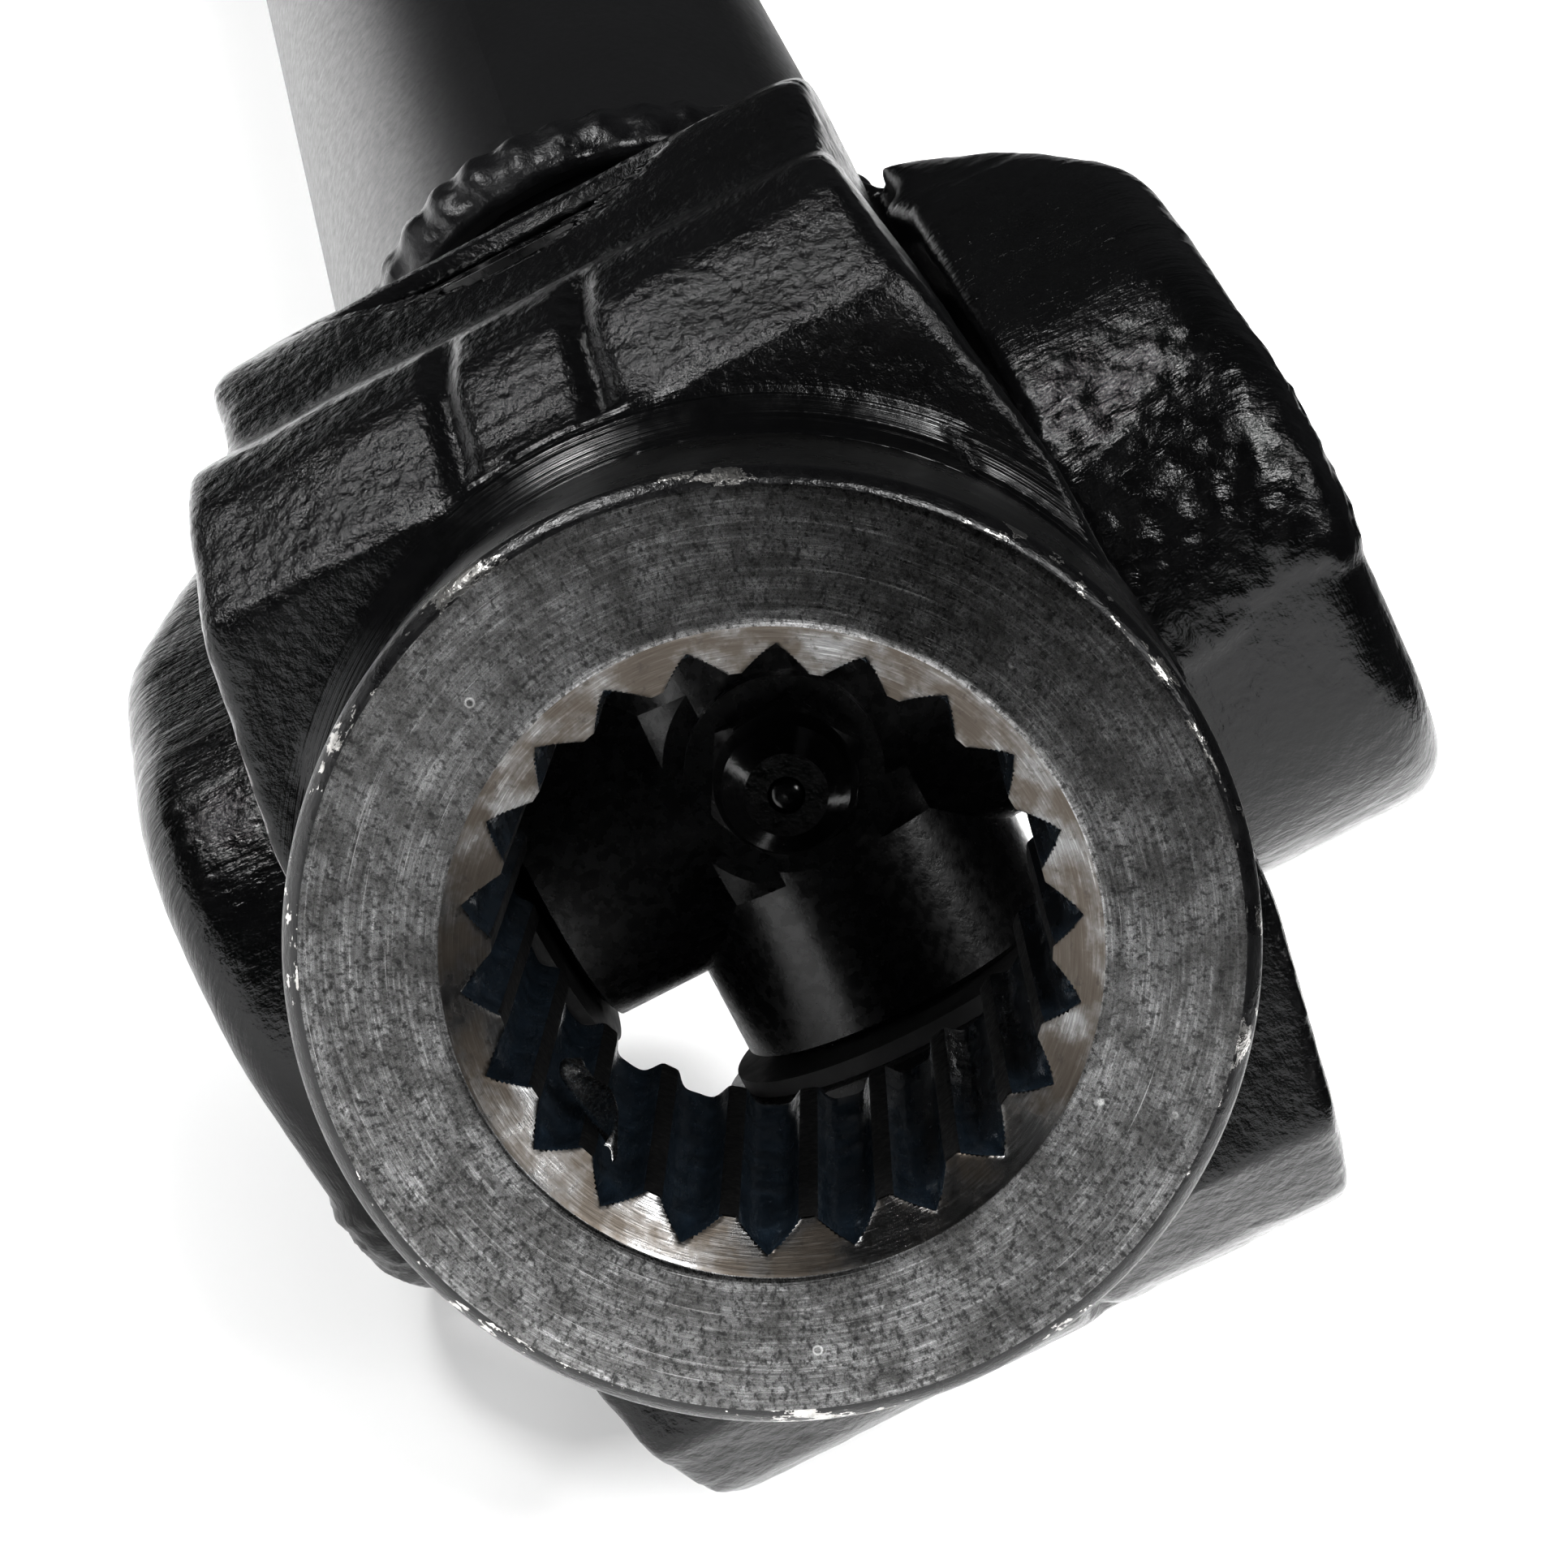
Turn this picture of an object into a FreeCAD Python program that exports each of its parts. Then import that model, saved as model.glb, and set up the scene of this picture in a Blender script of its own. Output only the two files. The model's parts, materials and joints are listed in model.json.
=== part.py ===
import FreeCAD, Part
import os, math
from FreeCAD import Vector, Placement, Rotation

# Double cardan shaft: a welded drive tube with a universal joint at each end,
# the outer yoke of each joint carrying a 22-groove serrated bore.
# Shaft frame while modelling: X along the tube towards the front joint,
# Y along the ears of the tube yokes, origin at the centre of the front cross.
# The finished assembly is then turned so that it lies on its lowest ears.

# ---------------- driving dimensions (mm) ----------------
CENTRES = 260.0          # distance between the two cross centres
BEND_FRONT = 21.2        # rest bend of the front joint about the tube-yoke ears
YAW_FRONT = -1.4         # rest turn of the front end yoke about its own ears
BEND_REAR = 21.2         # rest bend of the rear joint, the same way
REST_ROLL = 47.07        # turn of the whole shaft about its tube axis
REST_PITCH = 0.0         # tilt of the tube axis
REST_LIFT = 31.817       # height of the tube axis over the surface
SIDE_SHIFT = 1.907       # puts the origin under the middle of the whole object

# splined end yoke
FACE_X = 50.0            # hub face from the cross centre
HUB_R = 19.3
THROAT_X = 27.8          # bottom of the slot between the ears
BORE_MINOR_R = 11.1      # lands of the serration
BORE_ROOT_R = 12.35      # bottom of the V grooves
GROOVES = 22
GROOVE_PHASE = 13.0      # degrees, turns the serration about the hub axis
GROOVE_W = 2.15          # V groove width at the lands
CHAMFER_R = 13.1
CHAMFER_D = 1.35
EDGE_CH = 0.6
TURNED_X = 35.5          # where the turned hub runs into the forging

# ears, alike on every yoke
EAR_OUT = 29.5
EAR_IN = 18.0
EAR_HALF_W = 16.4
EAR_TIP = 16.5
EAR_TIP_R = 14.5

# bearing set 22 x 54
CUP_R = 11.0
CUP_END = 27.0
CUP_MOUTH = 15.4
CUP_FLOOR = 2.0
CUP_BORE_R = 9.4
TRUN_R = 6.85
TRUN_END = 24.9
NEEDLES = 20
NEEDLE_R = 1.22
NEEDLE_PCR = 8.12
CLIP_T = 1.3
CLIP_GROOVE_R = 11.8
CLIP_R_IN = 9.3
SEAL_R = 10.0
CROSS_SHOULDER = 13.6
CROSS_BOSS_R = 4.9
CROSS_BOSS_X = 10.6

# drive tube and welds
TUBE_R = 17.5
TUBE_WALL = 2.5
NECK_R = 15.8
TUBE_THROAT_X = 24.5
NECK_END = 43.0          # end of the tube-yoke neck, where the tube butts
SPIGOT_L = 9.0

os.makedirs("parts", exist_ok=True)
EPS = 1e-3


def V(x, y, z):
    return Vector(x, y, z)


def cyl(r, h, base, axis):
    return Part.makeCylinder(r, h, base, axis)


def extr_xz(pts, y0, y1):
    w = Part.makePolygon([V(x, y0, z) for x, z in pts] + [V(pts[0][0], y0, pts[0][1])])
    return Part.Face(w).extrude(V(0, y1 - y0, 0))


def extr_xy(wire_face, z0, z1):
    f = wire_face.copy()
    f.translate(V(0, 0, z0))
    return f.extrude(V(0, 0, z1 - z0))


def rounded_poly_xy(pts, radii):
    """closed outline in the XY plane with a tangent arc at each corner"""
    n = len(pts)
    edges = []
    starts, ends, mids = [], [], []
    for i in range(n):
        p = V(pts[i][0], pts[i][1], 0)
        a = V(pts[i - 1][0], pts[i - 1][1], 0)
        b = V(pts[(i + 1) % n][0], pts[(i + 1) % n][1], 0)
        u = (a - p).normalize()
        w = (b - p).normalize()
        ang = u.getAngle(w)
        r = radii[i]
        if r < 1e-6:
            starts.append(p); ends.append(p); mids.append(None)
            continue
        d = r / math.tan(ang / 2)
        s = p + u * d
        e = p + w * d
        bis = (u + w).normalize()
        c = p + bis * (r / math.sin(ang / 2))
        m = c + (p - c).normalize() * r
        starts.append(s); ends.append(e); mids.append(m)
    for i in range(n):
        if mids[i] is not None:
            edges.append(Part.Arc(starts[i], mids[i], ends[i]).toShape())
        j = (i + 1) % n
        if (starts[j] - ends[i]).Length > 1e-6:
            edges.append(Part.LineSegment(ends[i], starts[j]).toShape())
    return Part.Wire(edges)


def swap_to_xz(wire):
    """turn an XY outline into the XZ plane"""
    w = wire.copy()
    w.rotate(V(0, 0, 0), V(1, 0, 0), 90)
    return w


def slab_xz(pts, radii, half_y):
    w = swap_to_xz(rounded_poly_xy(pts, radii))
    f = Part.Face(w)
    f.translate(V(0, half_y, 0))
    return f.extrude(V(0, -2 * half_y, 0))


def slab_xy(pts, radii, half_z):
    f = Part.Face(rounded_poly_xy(pts, radii))
    f.translate(V(0, 0, -half_z))
    return f.extrude(V(0, 0, 2 * half_z))


def fillet_try(shape, r, want):
    edges = [e for e in shape.Edges if want(e)]
    if not edges:
        return shape
    out = shape.makeFillet(r, edges)
    if out.isValid() and out.Volume > 0:
        return out
    return shape


def soften(block, want):
    """round the lengthwise forging edges; the largest radius that closes is kept"""
    edges = [e for e in block.Edges if want(e)]
    for r in (2.6, 2.0, 1.4, 0.9):
        try:
            out = block.makeFillet(r, edges)
            if out.isValid() and out.Volume > 0.8 * block.Volume:
                return out
        except Exception:
            pass
    print("edges left sharp")
    return block


def ear_bores(body):
    """cup bores and snap-ring grooves through both ears, along Z"""
    body = body.cut(cyl(CUP_R, 2 * EAR_OUT + 10, V(0, 0, -EAR_OUT - 5), V(0, 0, 1)))
    for s in (1, -1):
        base = V(0, 0, s * CUP_END)
        body = body.cut(cyl(CLIP_GROOVE_R, CLIP_T + 0.06, base, V(0, 0, s)))
        # lead-in chamfer at the outer face
        cone = Part.makeCone(CUP_R, CUP_R + 0.9, 0.9, V(0, 0, s * (EAR_OUT - 0.9)), V(0, 0, s))
        body = body.cut(cone)
    return body


def prism_yz(pts, x0, x1):
    w = Part.makePolygon([V(x0, y, z) for y, z in pts] + [V(x0, pts[0][0], pts[0][1])])
    return Part.Face(w).extrude(V(x1 - x0, 0, 0))


def yoke_blank(kind):
    """forged fork, ears along Z, hub towards +X, with rounded forging edges"""
    if kind == "end":
        side = [(TURNED_X, -20.4), (TURNED_X, 20.4), (30.6, 24.9), (27.0, 26.4), (16.0, 26.2), (8.5, EAR_OUT), (-EAR_TIP, EAR_OUT),
                (-EAR_TIP, -EAR_OUT), (8.5, -EAR_OUT), (16.0, -26.2), (27.0, -26.4), (30.6, -24.9)]
        rad = [0, 0, 2.5, 3.0, 6.0, 6.0, 3.0, 3.0, 6.0, 6.0, 3.0, 2.5]
        plan = [(TURNED_X, -18.9), (TURNED_X, 18.9), (24.0, 16.6), (14.0, 15.6), (7.0, 16.2), (0.0, EAR_HALF_W), (-EAR_TIP, EAR_HALF_W),
                (-EAR_TIP, -EAR_HALF_W), (0.0, -EAR_HALF_W), (7.0, -16.2), (14.0, -15.6), (24.0, -16.6)]
        prad = [0, 0, 10, 8, 12, 0, EAR_TIP_R, EAR_TIP_R, 0, 12, 8, 10]
        xm = TURNED_X
    else:
        side = [(30.0, -15.0), (30.0, 15.0), (26.0, 18.2), (18.6, 24.6), (9.0, EAR_OUT), (-EAR_TIP, EAR_OUT),
                (-EAR_TIP, -EAR_OUT), (9.0, -EAR_OUT), (18.6, -24.6), (26.0, -18.2)]
        rad = [0, 0, 4.0, 10.0, 12.0, 3.0, 3.0, 12.0, 10.0, 4.0]
        plan = [(30.0, -15.0), (30.0, 15.0), (14.0, 16.4), (7.0, 16.6), (0.0, EAR_HALF_W), (-EAR_TIP, EAR_HALF_W),
                (-EAR_TIP, -EAR_HALF_W), (0.0, -EAR_HALF_W), (7.0, -16.6), (14.0, -16.4)]
        prad = [0, 0, 8, 12, 0, EAR_TIP_R, EAR_TIP_R, 0, 12, 8]
        xm = 30.0
    block = slab_xz(side, rad, 30.0).common(slab_xy(plan, prad, 40.0))
    if kind == "end":
        # the shoulder narrows towards the ears' outer edge
        mask = prism_yz([(-18.9, 0), (-18.6, 10.5), (-15.6, 27.2), (15.6, 27.2), (18.6, 10.5), (18.9, 0),
                         (18.6, -10.5), (15.6, -27.2), (-15.6, -27.2), (-18.6, -10.5)], 15.0, 60.0)
        mask = mask.fuse(Part.makeBox(40.0, 60.0, 80.0, V(-25.0, -30.0, -40.0)))
        block = block.common(mask)
    block = block.removeSplitter()

    def outer(e):
        bb = e.BoundBox
        if bb.XMax > xm - 0.5 and bb.XMin > xm - 0.5:
            return False
        # lengthwise edges between the outer faces and the flanks
        mid = e.valueAt((e.FirstParameter + e.LastParameter) / 2)
        return abs(mid.y) > 3.0 and abs(mid.z) > 17.5 and e.Length > 0.6

    return block, outer


def throat(x_bottom, r=7.0):
    """slot between the ears, open towards -X, with rounded bottom corners"""
    pts = [(-40.0, -EAR_IN), (x_bottom, -EAR_IN), (x_bottom, EAR_IN), (-40.0, EAR_IN)]
    return slab_xz(pts, [0, r, r, 0], 40.0)


def serration_tool():
    """solid of the serrated bore, along X"""
    pitch = 2 * math.pi / GROOVES
    half = math.asin(GROOVE_W / 2 / BORE_MINOR_R)
    pts = []
    n_arc = 2
    edges = []
    first = None
    prev = None
    for i in range(GROOVES):
        mid = i * pitch + math.radians(GROOVE_PHASE)
        a0 = mid - half
        a1 = mid + half
        p0 = V(0, BORE_MINOR_R * math.cos(a0), BORE_MINOR_R * math.sin(a0))
        pr0 = V(0, BORE_ROOT_R * math.cos(mid - 0.008), BORE_ROOT_R * math.sin(mid - 0.008))
        pr1 = V(0, BORE_ROOT_R * math.cos(mid + 0.008), BORE_ROOT_R * math.sin(mid + 0.008))
        p1 = V(0, BORE_MINOR_R * math.cos(a1), BORE_MINOR_R * math.sin(a1))
        if prev is not None:
            am = mid - pitch / 2
            m = V(0, BORE_MINOR_R * math.cos(am), BORE_MINOR_R * math.sin(am))
            edges.append(Part.Arc(prev, m, p0).toShape())
        else:
            first = p0
        edges.append(Part.LineSegment(p0, pr0).toShape())
        edges.append(Part.LineSegment(pr0, pr1).toShape())
        edges.append(Part.LineSegment(pr1, p1).toShape())
        prev = p1
    am = -pitch / 2 + math.radians(GROOVE_PHASE)
    m = V(0, BORE_MINOR_R * math.cos(am), BORE_MINOR_R * math.sin(am))
    edges.append(Part.Arc(prev, m, first).toShape())
    f = Part.Face(Part.Wire(edges))
    return f.extrude(V(70, 0, 0))


def end_yoke():
    block, outer = yoke_blank("end")
    block = soften(block, outer)
    # turned hub with its root fillet, as one profile of revolution
    rf = 2.2
    r = HUB_R
    x0, x1 = THROAT_X - 3.0, FACE_X
    prof = [V(x0, 0, 0), V(x0, 0, r), V(x1 - EDGE_CH, 0, r), V(x1, 0, r - EDGE_CH), V(x1, 0, 0)]
    hub = Part.Face(Part.makePolygon(prof + [prof[0]])).revolve(V(0, 0, 0), V(1, 0, 0), 360)
    # the forging stops at the turned shoulder: everything ahead of TURNED_X is cleared outside the hub
    clear = cyl(40.0, 30.0, V(TURNED_X, 0, 0), V(1, 0, 0)).cut(cyl(r, 40.0, V(TURNED_X - 5, 0, 0), V(1, 0, 0)))
    body = block.fuse(hub).cut(clear)
    # root fillet ring between hub and shoulder
    a = V(TURNED_X, 0, r - 0.5)
    b = V(TURNED_X + rf, 0, r - 0.5)
    c = V(TURNED_X + rf, 0, r)
    d = V(TURNED_X, 0, r + rf)
    arc = Part.Arc(c, V(TURNED_X + rf - rf * math.sin(math.pi / 4), 0, r + rf - rf * math.cos(math.pi / 4)), d).toShape()
    w = Part.Wire([Part.LineSegment(a, b).toShape(), Part.LineSegment(b, c).toShape(), arc, Part.LineSegment(d, a).toShape()])
    ring = Part.Face(w).revolve(V(0, 0, 0), V(1, 0, 0), 360)
    keep = slab_xy([(10, -15.2), (60, -15.2), (60, 15.2), (10, 15.2)], [0, 0, 0, 0], 40.0)
    body = body.fuse(ring.common(keep))
    body = body.cut(throat(THROAT_X))
    body = body.cut(serration_tool())
    cone = Part.makeCone(BORE_MINOR_R - 1.0, CHAMFER_R, CHAMFER_D * (CHAMFER_R - BORE_MINOR_R + 1.0) / (CHAMFER_R - BORE_MINOR_R),
                         V(FACE_X - CHAMFER_D * (CHAMFER_R - BORE_MINOR_R + 1.0) / (CHAMFER_R - BORE_MINOR_R), 0, 0), V(1, 0, 0))
    body = body.cut(cone)
    body = ear_bores(body)
    # raised die pad on the shoulder of each ear
    return body.removeSplitter()


def tube_yoke():
    block, outer = yoke_blank("tube")
    block = soften(block, outer)
    neck = cyl(NECK_R, NECK_END - 20.0, V(20.0, 0, 0), V(1, 0, 0))
    spig = cyl(TUBE_R - TUBE_WALL, SPIGOT_L + 5.0, V(NECK_END - 5.0, 0, 0), V(1, 0, 0))
    body = block.fuse(neck).fuse(spig)
    body = body.cut(throat(TUBE_THROAT_X, 12.0))
    # relief that lets the other yoke's ear tips swing past the throat
    for q in (1, -1):
        pts = [(18.0, q * 9.6), (TUBE_THROAT_X - 0.4, q * 9.6), (29.4, q * 18.4), (29.4, q * 34.0), (18.0, q * 34.0)]
        body = body.cut(slab_xy(pts, [0, 0, 0, 0, 0], EAR_IN))
    # blind relief in the neck, left by the forging
    body = body.cut(cyl(7.0, 6.0, V(TUBE_THROAT_X - 1.0, 0, 0), V(1, 0, 0)))
    body = ear_bores(body)
    return body.removeSplitter()


def cross():
    """spider: arms along Y and Z, grease boss towards +X"""
    body = Part.makeSphere(10.4)
    body = body.common(Part.makeBox(17.0, 40, 40, V(-8.5, -20, -20)))
    for ax in (V(0, 1, 0), V(0, 0, 1)):
        n = ax * -1
        prof = []
        body = body.fuse(cyl(8.9, 2 * CROSS_SHOULDER, ax * -CROSS_SHOULDER, ax))
        body = body.fuse(cyl(TRUN_R, 2 * (TRUN_END - 0.6), ax * -(TRUN_END - 0.6), ax))
        for s in (1, -1):
            body = body.fuse(Part.makeCone(TRUN_R, TRUN_R - 0.6, 0.6, ax * (s * (TRUN_END - 0.6)), ax * s))
            body = body.fuse(Part.makeCone(8.9, 7.9, 0.5, ax * (s * CROSS_SHOULDER), ax * s))
    body = body.fuse(cyl(CROSS_BOSS_R, CROSS_BOSS_X, V(0, 0, 0), V(1, 0, 0)))
    # grease drillings
    body = body.cut(cyl(1.5, 60, V(0, -30, 0), V(0, 1, 0)))
    body = body.cut(cyl(1.5, 60, V(0, 0, -30), V(0, 0, 1)))
    body = body.cut(cyl(2.5, CROSS_BOSS_X, V(0.5, 0, 0), V(1, 0, 0)))
    return body.removeSplitter()


def nipple():
    """grease nipple standing on the boss, along +X"""
    x = CROSS_BOSS_X
    pts = []
    r = 7.0 / 2 / math.cos(math.pi / 6)
    hexw = [V(x, r * math.cos(k * math.pi / 3), r * math.sin(k * math.pi / 3)) for k in range(6)]
    body = Part.Face(Part.makePolygon(hexw + [hexw[0]])).extrude(V(2.6, 0, 0))
    body = body.common(Part.makeCone(4.4, 3.5, 2.6, V(x, 0, 0), V(1, 0, 0)))
    body = body.fuse(cyl(2.5, 6.0, V(x - 6.0, 0, 0), V(1, 0, 0)))
    body = body.fuse(cyl(2.1, 1.6, V(x + 2.6, 0, 0), V(1, 0, 0)))
    body = body.fuse(Part.makeCone(2.1, 3.1, 0.7, V(x + 3.6, 0, 0), V(1, 0, 0)))
    body = body.fuse(Part.makeCone(3.1, 2.0, 1.7, V(x + 4.3, 0, 0), V(1, 0, 0)))
    body = body.cut(cyl(0.9, 30, V(x - 10, 0, 0), V(1, 0, 0)))
    body = body.fuse(Part.makeSphere(1.15, V(x + 5.0, 0, 0)))
    return body.removeSplitter()


def cup(s):
    """closed bearing cup on arm +Z (s=1) or -Z (s=-1)"""
    z0 = CUP_MOUTH
    body = cyl(CUP_R, CUP_END - 0.5 - z0, V(0, 0, z0), V(0, 0, 1))
    body = body.fuse(Part.makeCone(CUP_R, CUP_R - 0.5, 0.5, V(0, 0, CUP_END - 0.5), V(0, 0, 1)))
    body = body.cut(cyl(CUP_BORE_R, CUP_END - CUP_FLOOR - z0 + 1, V(0, 0, z0 - 1), V(0, 0, 1)))
    # shallow turned recess in the outer face
    body = body.cut(cyl(5.0, 0.5, V(0, 0, CUP_END - 0.5), V(0, 0, 1)))
    if s < 0:
        body.rotate(V(0, 0, 0), V(1, 0, 0), 180)
    return body


def needles(s):
    out = []
    for i in range(NEEDLES):
        a = 2 * math.pi * (i + 0.5) / NEEDLES
        out.append(cyl(NEEDLE_R, 8.3, V(NEEDLE_PCR * math.cos(a), NEEDLE_PCR * math.sin(a), 16.5), V(0, 0, 1)))
    c = Part.makeCompound(out)
    if s < 0:
        c.rotate(V(0, 0, 0), V(1, 0, 0), 180)
    return c


def seal(s):
    """rubber lip seal between cup mouth and cross shoulder"""
    prof = [V(TRUN_R + 0.12, 0, 14.25), V(8.2, 0, 14.25), V(SEAL_R, 0, 14.5), V(SEAL_R, 0, CUP_MOUTH - 0.02),
            V(CUP_BORE_R - 0.05, 0, CUP_MOUTH - 0.02), V(CUP_BORE_R - 0.05, 0, 16.3), V(TRUN_R + 0.12, 0, 16.3)]
    body = Part.Face(Part.makePolygon(prof + [prof[0]])).revolve(V(0, 0, 0), V(0, 0, 1), 360)
    if s < 0:
        body.rotate(V(0, 0, 0), V(1, 0, 0), 180)
    return body


def clip(s):
    """internal snap ring with eyes"""
    z0 = CUP_END + 0.03
    ring = cyl(CLIP_GROOVE_R - 0.1, CLIP_T, V(0, 0, z0), V(0, 0, 1))
    ring = ring.cut(cyl(CLIP_R_IN, CLIP_T + 2, V(0.35, 0, z0 - 1), V(0, 0, 1)))
    lugs = None
    for q in (1, -1):
        a = math.radians(180 - q * 24)
        c = V(8.9 * math.cos(a), 8.9 * math.sin(a), z0)
        lug = cyl(2.1, CLIP_T, c, V(0, 0, 1))
        ring = ring.fuse(lug)
    for q in (1, -1):
        a = math.radians(180 - q * 24)
        c = V(8.9 * math.cos(a), 8.9 * math.sin(a), z0 - 1)
        ring = ring.cut(cyl(0.85, CLIP_T + 2, c, V(0, 0, 1)))
    gap = Part.makeBox(8, 3.0, CLIP_T + 2, V(-13.5, -1.5, z0 - 1))
    ring = ring.cut(gap)
    ring = ring.common(cyl(CLIP_GROOVE_R - 0.1, CLIP_T, V(0, 0, z0), V(0, 0, 1)))
    if s < 0:
        ring.rotate(V(0, 0, 0), V(1, 0, 0), 180)
    return ring


def bead(x_mid, r0, w, h, lobes=0):
    """fillet weld ring around the tube end"""
    a = V(x_mid - w / 2, 0, r0)
    b = V(x_mid + w / 2, 0, r0)
    m = V(x_mid, 0, r0 + h)
    arc = Part.Arc(a, m, b).toShape()
    ln = Part.LineSegment(b, a).toShape()
    return Part.Face(Part.Wire([arc, ln])).revolve(V(0, 0, 0), V(1, 0, 0), 360)


# ---------------- placements ----------------
def joint_front_end(shape, yaw=0.0):
    """end yoke side of the front joint"""
    s = shape.copy()
    if yaw:
        s.rotate(V(0, 0, 0), V(0, 0, 1), yaw)
    s.rotate(V(0, 0, 0), V(0, 1, 0), -BEND_FRONT)
    return s


def joint_tube_front(shape):
    """canonical (ears Z, hub +X) to the front tube yoke (ears Y, hub -X)"""
    s = shape.copy()
    s.rotate(V(0, 0, 0), V(1, 0, 0), 90)
    s.rotate(V(0, 0, 0), V(0, 0, 1), 180)
    return s


def mirror_rear(s):
    """front half to rear half: half turn about the Z line through mid-shaft"""
    t = s.copy()
    t.rotate(V(-CENTRES / 2.0, 0, 0), V(0, 0, 1), 180)
    return t


def rear_end(shape):
    s = shape.copy()
    s.rotate(V(0, 0, 0), V(0, 1, 0), -BEND_REAR)
    return mirror_rear(s)


def settle(shape):
    """lay the finished shaft on the surface"""
    s = shape.copy()
    s.rotate(V(0, 0, 0), V(1, 0, 0), REST_ROLL)
    s.rotate(V(0, 0, 0), V(0, 1, 0), REST_PITCH)
    s.translate(V(CENTRES / 2.0, SIDE_SHIFT, REST_LIFT))
    return s


made = {}


def put(name, shape):
    t = settle(shape)
    made[name] = t
    t.exportStep("parts/" + name + ".step")


ey = end_yoke()
ty = tube_yoke()
cr = cross()
ni = nipple()

put("front_splined_yoke", joint_front_end(ey, YAW_FRONT))
put("rear_splined_yoke", rear_end(ey))
put("front_tube_yoke", joint_tube_front(ty))
put("rear_tube_yoke", mirror_rear(joint_tube_front(ty)))
put("front_cross", joint_front_end(cr))
put("rear_cross", rear_end(cr))
put("front_grease_nipple", joint_front_end(ni))
put("rear_grease_nipple", rear_end(ni))

for tag, s in (("upper", 1), ("lower", -1)):
    for base, maker in (("bearing_cup", cup), ("needle_rollers", needles), ("cup_seal", seal), ("snap_ring", clip)):
        m = maker(s)
        put("front_yoke_%s_%s" % (tag, base), joint_front_end(m, YAW_FRONT))
        put("rear_yoke_%s_%s" % (tag, base), rear_end(m))
for tag, s in (("left", 1), ("right", -1)):
    for base, maker in (("bearing_cup", cup), ("needle_rollers", needles), ("cup_seal", seal), ("snap_ring", clip)):
        m = joint_tube_front(maker(s))
        put("front_tube_%s_%s" % (tag, base), m)
        put("rear_tube_%s_%s" % (tag, base), mirror_rear(m))

tube_len = CENTRES - 2 * NECK_END
tube = cyl(TUBE_R, tube_len, V(-NECK_END - tube_len, 0, 0), V(1, 0, 0))
tube = tube.cut(cyl(TUBE_R - TUBE_WALL, tube_len + 2, V(-NECK_END - tube_len - 1, 0, 0), V(1, 0, 0)))
put("drive_tube", tube)
fb = bead(-NECK_END - 0.6, TUBE_R, 6.4, 1.8)
put("front_weld_bead", fb)
put("rear_weld_bead", mirror_rear(fb))

print("nodes", len(made))
for k in sorted(made):
    b = made[k].BoundBox
    print("%-36s vol %9.1f solids %d valid %s" % (k, made[k].Volume, len(made[k].Solids), made[k].isValid()))
lo = min(m.BoundBox.ZMin for m in made.values())
print("lowest", lo)
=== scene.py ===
import bpy, bmesh, math, json
import numpy as np
from mathutils import Matrix, Vector, noise


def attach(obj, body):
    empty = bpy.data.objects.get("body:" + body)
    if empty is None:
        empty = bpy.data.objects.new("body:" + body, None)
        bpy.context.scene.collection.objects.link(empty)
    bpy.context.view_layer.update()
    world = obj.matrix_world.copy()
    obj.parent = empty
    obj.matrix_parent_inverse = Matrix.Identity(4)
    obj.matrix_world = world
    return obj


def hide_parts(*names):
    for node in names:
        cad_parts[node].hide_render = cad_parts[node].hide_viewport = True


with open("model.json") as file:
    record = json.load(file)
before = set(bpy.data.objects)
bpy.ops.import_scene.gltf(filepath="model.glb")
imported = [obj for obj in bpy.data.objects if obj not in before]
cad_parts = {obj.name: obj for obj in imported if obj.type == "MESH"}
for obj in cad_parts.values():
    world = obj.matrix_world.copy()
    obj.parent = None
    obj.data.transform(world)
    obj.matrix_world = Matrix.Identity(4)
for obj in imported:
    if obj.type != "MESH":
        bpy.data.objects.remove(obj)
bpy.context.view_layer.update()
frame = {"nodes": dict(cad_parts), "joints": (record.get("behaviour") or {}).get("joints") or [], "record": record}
REC = frame["record"]
NODES = frame["nodes"]
MM = 0.001
RNG = np.random.RandomState(7)

# ------------------------------------------------------------------ frames
joints = {j["name"]: j for j in frame["joints"]}
mounts = {m["name"]: m for m in REC["mounts"]}


def axes(origin, x, z):
    x = Vector(x).normalized()
    z = Vector(z).normalized()
    z = (z - x * z.dot(x)).normalized()
    y = z.cross(x)
    m = Matrix((x, y, z)).transposed().to_4x4()
    m.translation = Vector(origin)
    return m


END = {}
TUBEY = {}
for side, sx in (("front", 1.0), ("rear", -1.0)):
    jf = joints[side + "_fork_swing"]
    js = joints[side + "_spider_swing"]
    END[side] = axes(jf["pos_m"], mounts[side + "_splined_bore"]["axis"], jf["axis"])
    TUBEY[side] = axes(js["pos_m"], (-sx, 0, 0), js["axis"])
SHAFT = axes(joints["front_spider_swing"]["pos_m"], (1, 0, 0), joints["rear_spider_swing"]["axis"])


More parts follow.
